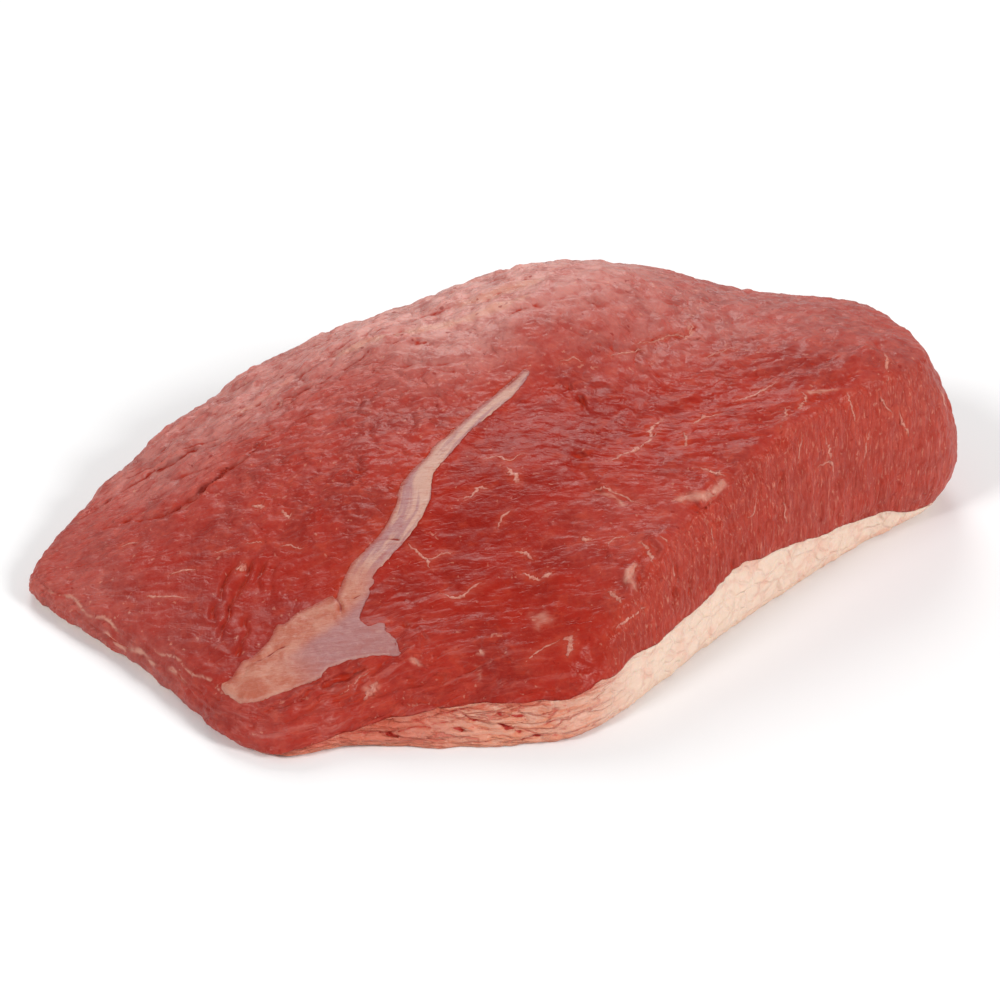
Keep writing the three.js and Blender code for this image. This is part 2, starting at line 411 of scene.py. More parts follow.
# how the skin is in each area: x, y, z in mm, then folds, ripples, dimples, furrows in mm,
# then wrinkles, paleness (a whitish membrane, partly painted sheen) and strands from 0 to 1
areas = [
    (-112, -20, 18, 0.3, 0.15, 0.4, 0.0, 0.5, 0.12, 0.0),
    (-95, -40, 20, 0.1, 0.04, 0.15, 0.0, 0.15, 0.0, 0.0),
    (-75, -60, 18, 0.1, 0.04, 0.15, 0.0, 0.1, 0.0, 0.0),
    (-55, -40, 25, 0.1, 0.12, 0.6, 0.0, 0.4, 0.03, 0.0),
    (-80, -18, 30, 0.3, 0.15, 0.2, 0.0, 0.5, 0.1, 0.1),
    (-50, -10, 38, 0.2, 0.28, 0.4, 0.0, 0.7, 0.07, 0.1),
    (-25, 15, 48, 0.3, 0.28, 0.3, 0.0, 0.8, 0.1, 0.1),
    (-45, 20, 45, 0.4, 0.3, 0.3, 0.0, 0.8, 0.2, 0.2),
    (-100, 20, 20, 1.3, 0.2, 0.5, 0.0, 0.5, 0.5, 0.1),
    (-70, 45, 30, 1.4, 0.25, 0.5, 0.0, 0.6, 0.7, 0.2),
    (-35, 55, 42, 1.4, 0.3, 0.3, 0.0, 0.7, 1.0, 0.3),
    (0, 60, 45, 1.2, 0.3, 0.3, 0.0, 0.7, 1.0, 0.3),
    (15, 56, 50, 1.0, 0.2, 0.3, 0.0, 0.6, 1.0, 0.2),
    (-18, 42, 50, 1.0, 0.25, 0.3, 0.0, 0.7, 1.0, 0.2),
    (15, 30, 58, 0.3, 0.12, 0.4, 0.0, 0.5, 0.05, 0.1),
    (45, 40, 55, 0.8, 0.22, 0.5, 0.0, 0.7, 0.4, 0.2),
    (80, 40, 55, 0.6, 0.22, 0.4, 0.0, 0.6, 0.35, 0.2),
    (110, 45, 50, 0.3, 0.2, 0.4, 0.0, 0.4, 0.3, 0.1),
    (65, 5, 55, 0.5, 0.26, 0.2, 0.0, 0.7, 0.03, 0.3),
    (40, -10, 50, 0.3, 0.2, 0.2, 0.0, 0.5, 0.0, 0.2),
    (90, 12, 56, 0.3, 0.2, 0.4, 0.0, 0.5, 0.05, 0.1),
    (5, -10, 48, 0.1, 0.08, 0.25, 0.0, 0.3, 0.0, 0.0),
    (-5, -45, 35, 0.05, 0.06, 0.25, 0.0, 0.25, 0.0, 0.0),
    (15, -65, 28, 0.1, 0.1, 0.4, 0.0, 0.3, 0.0, 0.1),
    (35, -50, 38, 0.2, 0.1, 0.6, 0.0, 0.5, 0.12, 0.0),
    (-40, -86, 12, 0.5, 0.2, 0.2, 0.0, 0.5, 0.05, 1.0),
    (0, -86, 15, 0.4, 0.2, 0.3, 0.0, 0.5, 0.04, 0.9),
    (-70, -92, 6, 0.5, 0.2, 0.2, 0.0, 0.5, 0.1, 0.8),
    (45, -58, 25, 0.0, 0.1, 0.4, 1.1, 0.6, 0.1, 0.2),
    (65, -36, 32, 0.0, 0.1, 0.4, 1.1, 0.6, 0.1, 0.2),
    (90, -10, 35, 0.0, 0.1, 0.4, 1.1, 0.6, 0.15, 0.1),
    (115, 12, 35, 0.0, 0.1, 0.4, 0.8, 0.7, 0.15, 0.0),
    (130, 35, 35, 0.0, 0.12, 0.35, 0.5, 0.7, 0.2, 0.0),
    (120, 70, 30, 0.3, 0.3, 0.3, 0.4, 0.6, 0.3, 0.1),
    (60, 88, 25, 0.8, 0.3, 0.3, 0.2, 0.6, 0.4, 0.3),
    (-10, 92, 20, 0.9, 0.3, 0.3, 0.2, 0.6, 0.4, 0.3),
    (-80, 65, 15, 1.0, 0.3, 0.3, 0.1, 0.6, 0.5, 0.3),
    (-122, -30, 6, 0.2, 0.2, 0.2, 0.0, 0.5, 0.3, 0.6),
    (-95, -58, 6, 0.3, 0.2, 0.2, 0.0, 0.5, 0.3, 0.9),
]
areaReach = 14


def areaValues(co):
    weights = np.full(len(co), 1e-12)
    values = np.zeros((len(co), 7))
    for mark in areas:
        w = np.exp(-((co - mark[:3]) ** 2).sum(1) / (2 * areaReach ** 2))
        weights += w
        values += w[:, None] * mark[3:]
    return (values / weights[:, None]).T


# the skin's patterns: height in mm, lengths in mm, octaves, then the pushes of a wide and a close sway
# lengths and pushes of folds, ripples and strands run along the grain, over it and up, others along x, y, z
still = (0, 0, 0)
relief = {
    "lumps": (0.5, (28, 28, 28), 3),
    "folds": (2.0, (34, 10, 40), 3, (0.25, 0.6, 0), (0, 0.15, 0)),
    "ripples": (5, (9, 2.8, 9), 3, still, (0.3, 0.5, 0)),
    "strands": (1.1, (26, 2.4, 4), 2, (0.2, 0, 0), (0, 0.4, 0)),
    "dimples": (1.2, (5.5, 5.5, 5.5), 3, still, (0.4, 0.4, 0.4)),
    "furrows": (1.2, (4.5, 4.5, 24), 4, (0, 0, 0.3), (0.3, 0, 0)),
    "layers": (2.0, (12, 12, 3.0), 3, still, (0, 0, 0.4)),
    "fatLobes": (1.0, (6.5, 6.5, 6.5), 3, still, (0.3, 0.3, 0.3)),
    "brow": (2.2, (11, 11, 11), 3),
    "rim": (1.6, (34, 9, 3.2), 3, (0, 0, 0.4)),
    "seamLobes": (0.5, (6, 6, 6), 3),
}
skin = {
    "wideSway": 20, "closeSway": 9,         # mm, lengths of the noises that sway the patterns
    "inSeam": 0.15, "inFat": 0.9,           # share of the relief that is left there
    "browReach": 5, "rimReach": 6,          # mm
}
brow = [(113, 36, 54), (106, 23, 56), (94, 8, 54), (83, -5, 52), (74, -17, 49), (63, -30, 46), (50, -44, 42),
        (39, -58, 37), (28, -73, 27), (19, -85, 13)]
rim = [(-134, -24, 5), (-121, -37, 5), (-103, -55, 6), (-88, -71, 7), (-74, -86, 7)]    # the thin left edge


def raiseGrain(obj):
    co, facing = pointsOf(obj), facingOf(obj)
    along, across = (readGrid(*grain[:2], field, co) for field in grain[2])
    folds, ripples, dimples, furrows, _, _, strands = areaValues(co)
    wide, close = fractal(co / skin["wideSway"], 2), fractal(co / skin["closeSway"] + 40, 2)
    height = np.zeros(len(co))

    def raised(name, weight, places, kind=billows, least=0.02):     # one pattern, where its weight counts
        tall, lengths, octaves, *pushes = relief[name]
        weight = weight * tall
        busy = weight > least
        vectors = places[busy] / lengths
        for sway, push in zip((wide, close), pushes):
            vectors += sway[busy, None] * push
        height[busy] += weight[busy] * kind(vectors, octaves)

    def nearPath(path, reach):              # 1 on a path, 0 far off it
        near, far, _, _ = pathField(co, facing, smoothPath(path), 2 * reach + 2)
        share = np.zeros(len(co))
        share[near] = np.exp(-(far / reach) ** 2)
        return share

    under = ramp(-facing[:, 2], 0.5, 0.9)
    meat = ramp(co[:, 2] - readGrid(*partingField, co), -0.6, 0.6)
    inSeam = insideOf(co, outline)
    calm = np.where(inSeam, skin["inSeam"], 1.0) * meat
    flow = np.stack([along, across, co[:, 2]], 1)
    raised("lumps", np.ones(len(co)), co, fractal)
    raised("folds", folds * calm, flow, least=0.05)
    raised("ripples", ripples * calm, flow)
    raised("strands", strands * calm, flow, least=0.05)
    raised("dimples", dimples * calm, co)
    raised("furrows", furrows * calm, co)
    front = ramp(-co[:, 0], -30, -8) * ramp(-co[:, 1], 40, 70)      # where the fat is trimmed
    fatty = skin["inFat"] * (1 - meat) * (1 - 0.5 * under)
    raised("layers", fatty * front, co)
    raised("fatLobes", fatty * (1 - front), co)
    raised("brow", nearPath(brow, skin["browReach"]), co, fractal)
    turned = np.stack([co[:, 0] - co[:, 1], co[:, 0] + co[:, 1], co[:, 2]], 1)      # along the rim, over it
    raised("rim", nearPath(rim, skin["rimReach"]) * (facing[:, 2] < 0.8), turned)
    raised("seamLobes", inSeam * ramp(-co[:, 0] * 0.6 - co[:, 1], 78, 92), co)
    movePoints(obj, co + facing * height[:, None])


plainFacing = facingOf(whole)               # before the relief
raiseGrain(whole)
print("grain raised")

# creases (depth below 0) and ridges: path in mm, width and depth in mm; a step is raised on its left
strokes = [
    {"path": [(-131, -18), (-116, -9), (-101, -9), (-94, -9), (-87, -5), (-81, 0), (-74, 4), (-70, 11),
              (-62, 24)],
     "width": 1.5, "depth": -1.6},
    {"path": [(-66, 16), (-73, 3), (-80, -2), (-86, -7), (-93, -11), (-101, -12)],
     "width": 1.5, "depth": 0.9, "step": True},
    {"path": [(-86, 2), (-92, 6), (-96, 2)], "width": 1.3, "depth": -0.9},
    {"path": [(-76, 14), (-66, 26), (-48, 33), (-36, 38), (-23, 34), (-10, 31)],
     "width": 1.4, "depth": -0.9},
    {"path": [(-10, 31), (-1, 38), (5, 42), (17, 45), (28, 49)], "width": 1.6, "depth": -0.7},
    {"path": [(-128, -4), (-115, 7), (-100, 14), (-84, 18), (-74, 23)], "width": 1.3, "depth": -1.2},
    {"path": [(-74, 23), (-60, 38), (-46, 45), (-31, 44), (-16, 43)], "width": 1.8, "depth": -0.8},
    {"path": [(-104, 24), (-88, 37), (-73, 42), (-58, 47)], "width": 1.6, "depth": -0.9},
    {"path": [(-58, 49), (-43, 48), (-25, 50), (-7, 52), (11, 55)], "width": 1.9, "depth": -0.7},
    {"path": [(-66, -30), (-70, -39), (-74, -50), (-76, -60), (-77, -71)], "width": 1.0, "depth": -1.1},
    {"path": [(-73, -33), (-76, -41), (-79, -52), (-79, -63)], "width": 0.9, "depth": -0.9},
    {"path": [(-65, -36), (-67, -42), (-68, -50)], "width": 0.9, "depth": -0.7},
    {"path": [(-70, -54), (-70, -66), (-72, -74)], "width": 1.1, "depth": -1.0},
    {"path": [(-62, -38), (-64, -45), (-64, -52)], "width": 0.9, "depth": -0.6},
    {"path": [(-37, -18), (-40, -17), (-44, -19), (-48, -17), (-51, -14)],
     "width": 1.3, "depth": 0.9, "step": True},
    {"path": [(-41, -12), (-46, -13), (-50, -15)], "width": 1.0, "depth": 0.6, "step": True},
    {"path": [(-42, -12), (-39, -15)], "width": 1.4, "depth": -1.3},
    {"path": [(17, -17), (21, -23), (26, -31), (33, -36), (40, -42), (43, -46)],
     "width": 3.2, "depth": -0.9},
    {"path": [(24, -29), (28, -33), (34, -38), (41, -44)], "width": 0.8, "depth": 0.6},
    {"path": [(19, -16), (21, -18), (22, -20)], "width": 1.5, "depth": -1.1},
    {"path": [(54, 42), (54, 38), (55, 34), (53, 31), (48, 31), (42, 29), (38, 26)],
     "width": 1.2, "depth": -0.8, "step": True},
    {"path": [(17, 14), (19, 11), (21, 7), (23, 3), (25, -2)], "width": 0.9, "depth": -1.5},
    {"path": [(12, 13), (15, 13), (18, 12)], "width": 0.8, "depth": -0.8},
    {"path": [(23, 28), (25, 23), (27, 17)], "width": 0.8, "depth": -0.7},
    {"path": [(33, 29), (38, 25), (42, 19), (45, 14), (48, 8)], "width": 0.9, "depth": -0.7},
    {"path": [(20, 45), (26, 43), (31, 40)], "width": 1.1, "depth": -0.7},
    {"path": [(5, 42), (16, 34), (28, 27), (36, 22)], "width": 1.2, "depth": -0.5},
    {"path": [(38, -7), (55, 0), (73, 9), (90, 15), (103, 22)], "width": 2.2, "depth": -0.6},
    {"path": [(64, -28, 46), (58, -36, 43), (54, -40, 42), (50, -39, 42), (44, -41, 42)],
     "width": 1.8, "depth": -1.1, "step": True},
    {"path": [(43, -39), (50, -37), (54, -37), (58, -33), (62, -28)],
     "width": 1.6, "depth": 0.6, "step": True},
    {"path": [(97, 5, 54), (90, 2, 54), (84, -2, 53), (79, -8, 51)],
     "width": 1.2, "depth": -1.2, "step": True},
    {"path": [(40, -50, 40), (36, -56, 37), (34, -62, 34), (35, -67, 31)],
     "width": 1.6, "depth": -1.3, "step": True},
    {"path": [(-27, -81, 18), (-35, -80.5, 18), (-41, -81, 17), (-46, -83, 16), (-49, -86, 14),
              (-55, -88.5, 12), (-62, -90, 10), (-69, -89, 9)],
     "width": 1.8, "depth": -1.8, "step": True},
    {"path": [(-29, -79), (-24, -80), (-21, -81), (-18, -79)], "width": 1.3, "depth": 1.2, "step": True},
    {"path": [(-28, -83, 16), (-20, -84, 15), (-13, -82, 17)], "width": 1.8, "depth": -1.0},
    {"path": [(-18, -79), (-10, -80), (0, -80), (9, -82)], "width": 1.3, "depth": 0.5, "step": True},
    {"path": [(-28, -68), (-24, -72), (-19, -77)], "width": 0.8, "depth": -0.8},
    {"path": [(-29, -23, 37), (-23, -21, 39), (-18, -19, 40)], "width": 0.6, "depth": -0.7},
    {"path": [(-36, -42, 30), (-31, -41, 32), (-25, -41, 33)], "width": 0.6, "depth": -0.6},
    {"path": [(-42, -59, 24), (-38, -59, 25)], "width": 0.6, "depth": -0.6},
    {"path": [(-46, -57, 24), (-44, -61, 23), (-43, -67, 22)], "width": 0.7, "depth": -0.5},
    {"path": [(-70, -78, 14), (-62, -75, 17), (-54, -72, 19)], "width": 0.8, "depth": -0.4},
    {"path": [(-4, -91, 6), (0, -91, 5), (3, -91, 5), (6, -91, 4), (11, -91, 4)],
     "width": 0.6, "depth": -1.6},
    {"path": [(-3, -90, 8), (1, -90, 8), (7, -90, 7)], "width": 0.5, "depth": -1.1},
    {"path": [(-16, -92, 5), (-11, -92, 5), (-6, -92, 5)], "width": 0.6, "depth": -1.4},
    {"path": [(-32, -93, 4), (-27, -93, 4)], "width": 0.7, "depth": -1.3},
    {"path": [(-13, -89, 9), (-9, -90, 8), (-5, -90, 8)], "width": 0.5, "depth": -1.2},
    {"path": [(4, -92, 2), (11, -92, 2)], "width": 0.6, "depth": -1.4},
    {"path": [(-5, -93, 2), (2, -93, 2)], "width": 0.5, "depth": -1.0},
    {"path": [(-38, -93, 5), (-34, -93, 5), (-31, -92, 5)], "width": 0.5, "depth": -1.0},
]
columns = [                                 # furrows down the cut face: top x, y, foot x, y and depth in mm
    (31, -56, 30, -66, -0.5), (36, -57, 34, -68, -0.6), (39, -54, 40, -66, -0.5), (46, -48, 45, -60, -0.9),
    (51, -45, 50, -56, -0.6), (54, -43, 56, -50, -0.8), (60, -39, 60, -45, -0.5), (63, -34, 65, -40, -0.7),
    (72, -27, 71, -33, -0.5), (78, -19, 79, -26, -0.6), (88, -9, 87, -17, -0.5),
]
for x, y, footX, footY, depth in columns:
    top, foot = (36 + 0.15 * x if x > 35 else 34), (17 if x > 38 else 22)       # mm up
    bulge = ((x + footX) / 2 + 0.6, (y + footY) / 2, (top + foot) / 2)
    strokes.append({"path": [(x, y, top), bulge, (footX, footY, foot)], "width": 1.0, "depth": depth})


carving = {
    "stray": 1.6, "strayLength": 5,         # mm, how far the strokes stray from their paths
    "uneven": 0.9,                          # how much their depth varies
    "fade": 0.3,                            # share of the path over which an end fades out
}


def carve(obj, strokeList):
    co, facing = pointsOf(obj), facingOf(obj)
    tree = treeOf(obj)
    stray = noiseField(co / carving["strayLength"], noise.noise_vector)
    for stroke in strokeList:
        path = smoothPath(onSurface(tree, stroke["path"]))
        width = stroke["width"]
        near, far, side, along = pathField(co + carving["stray"] * stray, facing, path, width * 5 + 2)
        ends = ramp(np.minimum(along, 1 - along), 0, carving["fade"])
        uneven = 1 + carving["uneven"] * noiseField(co[near] / carving["strayLength"], noise.noise)
        if stroke.get("step"):              # sheer on its right, fading away on its left
            shape = np.exp(-np.abs(side) / (3 * width)) * ramp(side, -0.25 * width, 0.25 * width)
            shape *= np.exp(-np.maximum(far - np.abs(side), 0) / width)
        else:                               # a groove with low swollen sides, or a ridge
            shape = np.exp(-(far / width) ** 2 * 1.5) - 0.15 * np.exp(-((far - 2.1 * width) / width) ** 2)
        co[near] += facing[near] * (stroke["depth"] * shape * ends * uneven)[:, None]
    co[:, 2] = np.maximum(co[:, 2], 0)
    movePoints(obj, co)


carve(whole, strokes)
print("strokes carved")


# what the materials read: measured on the whole skin, handed to each piece later
spots = [                                   # pale bloom: x, y, z, radius in mm, strength
    (9.5, -71, 26, 5, 0.6), (-95, -45, 19, 5, 0.6), (-90, -38, 21, 4, 0.5), (-35, -85, 13, 2.5, 1.0),
    (106, 23, 55, 5, 0.35), (-7, -82, 17, 2.5, 0.6), (-5, -79, 21, 1.5, 1.0),
]
films = [                                   # pale films: path and half width in mm, strength
    ([(-60, 41), (-46, 42), (-25, 41), (-10, 43), (5, 46), (12, 50)], 2.2, 0.9),
    ([(-85, 25), (-70, 33), (-60, 41)], 1.6, 0.6), ([(-20, 52), (0, 54), (18, 57)], 3.0, 0.8),
    ([(44, -38, 43), (49, -38, 43), (54, -37, 44), (59, -33, 45), (62, -30, 46)], 2.2, 0.8),
    ([(84, 2, 53), (91, 3, 54), (97, 5, 54)], 1.2, 0.8),
    ([(36, -56, 37), (34, -62, 34), (35, -67, 31)], 1.8, 0.9), ([(24, -31), (30, -36), (38, -42)], 0.9, 0.7),
    ([(-26, -80, 19), (-21, -81, 18), (-18, -79, 20)], 1.0, 0.9),
    ([(-94, -11), (-86, -7), (-80, -2)], 0.9, 0.7),
    ([(43, 29), (48, 31), (53, 31), (55, 34), (54, 38)], 0.7, 1.0),
    ([(-132, -25, 7), (-121, -36, 8), (-112, -46, 9), (-100, -57, 9)], 0.7, 0.9),
    ([(-118, -38, 5), (-106, -51, 5), (-92, -66, 6), (-80, -79, 7)], 0.8, 0.9),
    ([(-98, -58, 9), (-88, -68, 10), (-78, -79, 11), (-66, -89, 10)], 0.6, 0.8),
]
bloomLook = {"ragged": 2, "raggedLength": 3, "sway": 0.8, "swayLength": 1.7}       # mm
facet = {"middle": (-86, -52), "radius": 34}    # mm, where the fibres lie along Y
haloWidth = 2.2                             # mm, of the paler meat along the stem
hollows = {"stand": 12, "swell": 90}        # rounds of smoothing that each is measured against


def hollowsOf(obj, rounds):                 # how far each point stands over its smoothed surroundings, in mm
    smooth = copyOf(obj, "smooth")
    finishWith(smooth, "SMOOTH", factor=0.5, iterations=rounds)
    stand = ((pointsOf(obj) - pointsOf(smooth)) * facingOf(smooth)).sum(1)
    bpy.data.objects.remove(smooth)
    return stand


def survey(obj):
    co, facing = pointsOf(obj), facingOf(obj)
    along, across = (readGrid(*grain[:2], field, co) for field in grain[2])
    _, _, _, furrows, wrinkles, pale, strands = areaValues(co)
    bloom = np.zeros(len(co))
    ragged = co + bloomLook["ragged"] * noiseField(co / bloomLook["raggedLength"], noise.noise_vector)
    swayed = co + bloomLook["sway"] * np.sin(co[:, [1, 2, 0]] / bloomLook["swayLength"])
    for x, y, z, radius, strength in spots:
        bloom += strength * np.exp(-((ragged - (x, y, z)) ** 2).sum(1) / (2 * (radius / 2) ** 2))
    tree = treeOf(obj)
    for places, half, strength in films:
        path = smoothPath(onSurface(tree, places))
        near, far, _, share = pathField(swayed, facing, path, half * 3)
        bloom[near] += strength * np.exp(-(far / half) ** 2) * ramp(np.minimum(share, 1 - share), 0, 0.25)
    leaning = plainFacing[:, 2] + 0.2 * noiseField(co / 5, noise.noise)
    outOfFacet = np.hypot(co[:, 0] - facet["middle"][0], co[:, 1] - facet["middle"][1])
    stem, stemSide, _ = offPath(co, np.array(seamEdge["left"][seamLook["stemFrom"]:], float))
    return {
        "grain": np.stack([along, across, co[:, 2]], 1),
        "upright": ramp(furrows, 0.1, 0.35) * ramp(leaning, 0.95, 0.6),
        "wrinkles": wrinkles, "pale": pale, "strands": strands, "bloom": np.clip(bloom, 0, 1),
        "facet": ramp(outOfFacet, facet["radius"], facet["radius"] / 2),
        **{name: hollowsOf(obj, rounds) for name, rounds in hollows.items()},
        "toFat": co[:, 2] - readGrid(*partingField, co),
        "halo": np.exp(-stem / haloWidth) * (stemSide > 0),
    }


surveyed = survey(whole)
surveyTree = pointTreeOf(whole)
print("skin surveyed")


def keep(obj, name, values):
    kind, key = ("FLOAT_VECTOR", "vector") if values.ndim == 2 else ("FLOAT", "value")
    made = obj.data.attributes.new(name, kind, "POINT")
    made.data.foreach_set(key, values.astype(np.float32).ravel())


def mark(obj, *names):
    nearest = np.array([surveyTree.find(v.co)[1] for v in obj.data.vertices])
    for name in names:
        keep(obj, name, surveyed[name][nearest])


# lean and fat cap: the whole body cut by a block whose top is the parting

def makeBlock(xs, ys, heights):
    bpy.ops.object.select_all(action="DESELECT")
    bpy.ops.mesh.primitive_grid_add(x_subdivisions=len(xs) - 1, y_subdivisions=len(ys) - 1, size=1)
    block = bpy.context.object
    co = pointsOf(block) * mm
    co[:, 0] = xs[0] + (co[:, 0] + 0.5) * (xs[-1] - xs[0])
    co[:, 1] = ys[0] + (co[:, 1] + 0.5) * (ys[-1] - ys[0])
    co[:, 2] = readGrid(xs, ys, heights, co)
    movePoints(block, co)
    select(block)
    bpy.ops.object.mode_set(mode="EDIT")
    bpy.ops.mesh.select_all(action="SELECT")
    bpy.ops.mesh.extrude_region_move(TRANSFORM_OT_translate={"value": (0, 0, -0.05)})        # m
    bpy.ops.mesh.select_all(action="SELECT")
    bpy.ops.mesh.normals_make_consistent(inside=False)
    bpy.ops.object.mode_set(mode="OBJECT")
    co = pointsOf(block)
    co[co[:, 2] < parting["foot"] / 2, 2] = parting["foot"]
    movePoints(block, co)
    setInOrder(block)
    return block


def cutCopy(obj, name, tool, operation):
    made = copyOf(obj, name)
    finishWith(made, "BOOLEAN", object=tool, operation=operation, solver="MANIFOLD")
    return made


def trianglesOf(obj):
    corners = np.empty(len(obj.data.polygons), int)
    obj.data.polygons.foreach_get("loop_total", corners)
    return int((corners - 2).sum())


def lighten(obj, triangles):                # fewer, larger triangles where the skin is even
    count = trianglesOf(obj)
    if count > triangles:
        finishWith(obj, "DECIMATE", ratio=triangles / count)
    print(obj.name, count, "triangles, now", trianglesOf(obj))


block = makeBlock(*partingField)
lean = cutCopy(whole, "lean_meat", block, "DIFFERENCE")
fat = cutCopy(whole, "fat_layer", block, "INTERSECT")


# the seam: a thin layer of the skin inside its outline

def makePrism(name, outline, low, high):
    made = bpy.data.objects.new(name, bpy.data.meshes.new(name))
    bpy.context.scene.collection.objects.link(made)
    shape = bmesh.new()
    face = shape.faces.new([shape.verts.new(Vector((p[0], p[1], low)) * mm) for p in outline])
    bmesh.ops.triangulate(shape, faces=[face])
    lifted = bmesh.ops.extrude_face_region(shape, geom=shape.faces[:])["geom"]
    raised = [v for v in lifted if isinstance(v, bmesh.types.BMVert)]
    bmesh.ops.translate(shape, verts=raised, vec=(0, 0, (high - low) * mm))
    bmesh.ops.recalc_face_normals(shape, faces=shape.faces[:])
    shape.to_mesh(made.data)
    shape.free()
    setInOrder(made)
    return made


def shellOf(obj, name, offset):
    made = copyOf(obj, name)
    finishWith(made, "DISPLACE", strength=offset * mm, mid_level=0)
    return made


prism = makePrism("prism", outline, *seamLook["cut"])
outer = shellOf(whole, "outer", seamLook["proud"])
inner = shellOf(whole, "inner", -seamLook["deep"])
seam = cutCopy(outer, "seam_fat", prism, "INTERSECT")
finishWith(seam, "BOOLEAN", object=inner, operation="DIFFERENCE", solver="MANIFOLD")
for spare in (whole, block, prism, outer, inner):
    bpy.data.objects.remove(spare)
for piece, most in ((lean, 190000), (fat, 110000), (seam, 60000)):      # triangles
    lighten(piece, most)


def markSeam(obj):
    co = pointsOf(obj)
    _, side, along = offPath(co, smoothPath([(*p, 0) for p in seamEdge["middle"]]))
    keep(obj, "way", np.stack([along, side, co[:, 2]], 1))
    for name in ("foot", "left"):
        keep(obj, "from" + name.title(), offPath(co, smoothPath([(*p, 0) for p in seamEdge[name]], 4))[0])


mark(lean, "grain", "upright", "facet", "wrinkles", "pale", "strands", "bloom", "stand", "swell", "halo")
mark(fat, "stand", "toFat")
mark(seam, "stand")
markSeam(seam)
print("pieces marked")

# marbling: thin veins laid in the surface, path in mm and half width in mm
veins = [
    ([(-6, -16), (-1, -15), (1, -17), (6, -15)], 0.3), ([(-11, -30), (-8, -28), (-7, -26), (-4, -27)], 0.35),
    ([(1, -20), (3, -23), (4, -26)], 0.7), ([(-2, -41), (0, -37), (2, -36)], 0.45),
    ([(-26, -43), (-23, -47), (-21, -49), (-20, -52)], 0.35), ([(-21, -49), (-17, -48), (-14, -47)], 0.25),
    ([(3, -50), (6, -50), (8, -53)], 0.35), ([(-17, -61), (-13, -63), (-10, -62), (-6, -59)], 0.4),
    ([(21, -48), (24, -48)], 0.5), ([(10, -59), (13, -58)], 0.5), ([(5, -57), (8, -59), (10, -60)], 0.35),
    ([(29, -22), (33, -20), (39, -16), (44, -10)], 0.35), ([(42, -14), (41, -10), (45, -5)], 0.45),
    ([(24, -31), (28, -32), (37, -38)], 0.35), ([(50, -19), (51, -16), (50, -12)], 0.35),
    ([(38, 27), (43, 29), (48, 31), (53, 31), (55, 34), (54, 38)], 0.3),
    ([(29, 22), (37, 25), (41, 25)], 0.25), ([(16, 21), (20, 22), (23, 21)], 0.25),
    ([(54, -27), (57, -29), (61, -31)], 0.45), ([(37, -52), (39, -55), (40, -59)], 0.35),
    ([(42, -52), (44, -54)], 0.4), ([(28, -51), (30, -49), (33, -49)], 0.25),
    ([(16, -75, 23), (18, -77, 22), (17, -80, 20)], 0.6),
    ([(4, -82, 18), (9, -78, 21), (15, -76, 23)], 0.25),
    ([(30, -74, 25), (33, -70, 26), (38, -66, 27)], 0.4), ([(28, -65), (30, -68), (31, -70)], 0.5),
    ([(52, -9), (56, -7), (61, -5)], 0.3), ([(65, 0), (70, 2), (78, 7)], 0.3),
    ([(58, 20), (63, 22), (68, 24)], 0.2), ([(84, 2, 53), (85, -1, 53), (83, -4, 52), (85, -5, 51)], 0.4),
    ([(79, -4, 52), (79, -8, 51), (77, -13, 50)], 0.35), ([(97, 4, 52), (98, 3, 49), (100, 3, 42)], 0.4),
    ([(110, 23, 55), (110, 19, 54), (109, 12, 51)], 0.4), ([(104, 6, 39), (104, 5, 36), (103, 3, 30)], 0.3),
    ([(90, -5, 43), (92, -5, 39), (93, -5, 35)], 0.5), ([(88, -9, 35), (93, -5, 35), (93, -5, 29)], 0.25),
    ([(83, -11, 47), (82, -14, 39)], 0.25), ([(113, 12, 42), (117, 13, 33)], 0.35),
    ([(107, 9, 49), (111, 11, 42)], 0.25), ([(70, -26, 39), (69, -29, 33), (67, -30, 33)], 0.3),
    ([(78, -20, 31), (79, -20, 24)], 0.4), ([(126, 25, 41), (129, 25, 34)], 0.45),
    ([(57, -41, 36), (57, -43, 31)], 0.25), ([(45, -55, 34), (46, -57, 26)], 0.3),
    ([(-93, -35), (-85, -35)], 0.35), ([(-99, -42), (-95, -43), (-86, -46)], 0.3),
    ([(-81, -30), (-76, -31)], 0.2), ([(-72, -30), (-69, -30), (-67, -31)], 0.2),
    ([(-62, -34), (-59, -34), (-57, -36), (-55, -37)], 0.22), ([(-71, -16), (-67, -18)], 0.5),
    ([(-62, -21), (-60, -24), (-59, -23)], 0.4), ([(-74, -38), (-71, -39)], 0.8),
    ([(-109, -19), (-103, -19)], 0.25), ([(-43, -87), (-39, -84), (-35, -82)], 0.2),
    ([(-37, -87), (-33, -84)], 0.9),
]
veinLook = {
    "crown": 0.05, "height": 0.2, "sides": 12,      # mm, how far a vein stands out and half its thickness
    "breadth": 2.4, "thinnest": 0.4, "uneven": 1.6,
    "sway": ((0.3, 0.7), (0.9, 0.4)),               # how fast and how far in mm
    "glow": 1.1,                                    # mm, of the paler meat beside it
    "red": (0.36, 0.04, 0.022), "pale": (0.62, 0.25, 0.185),
    "finish": {
        "Roughness": 0.42, "Subsurface Weight": 0.3, "Subsurface Radius": (1.0, 0.4, 0.3),
        "Subsurface Scale": 0.002, "IOR": 1.4,
    },
}


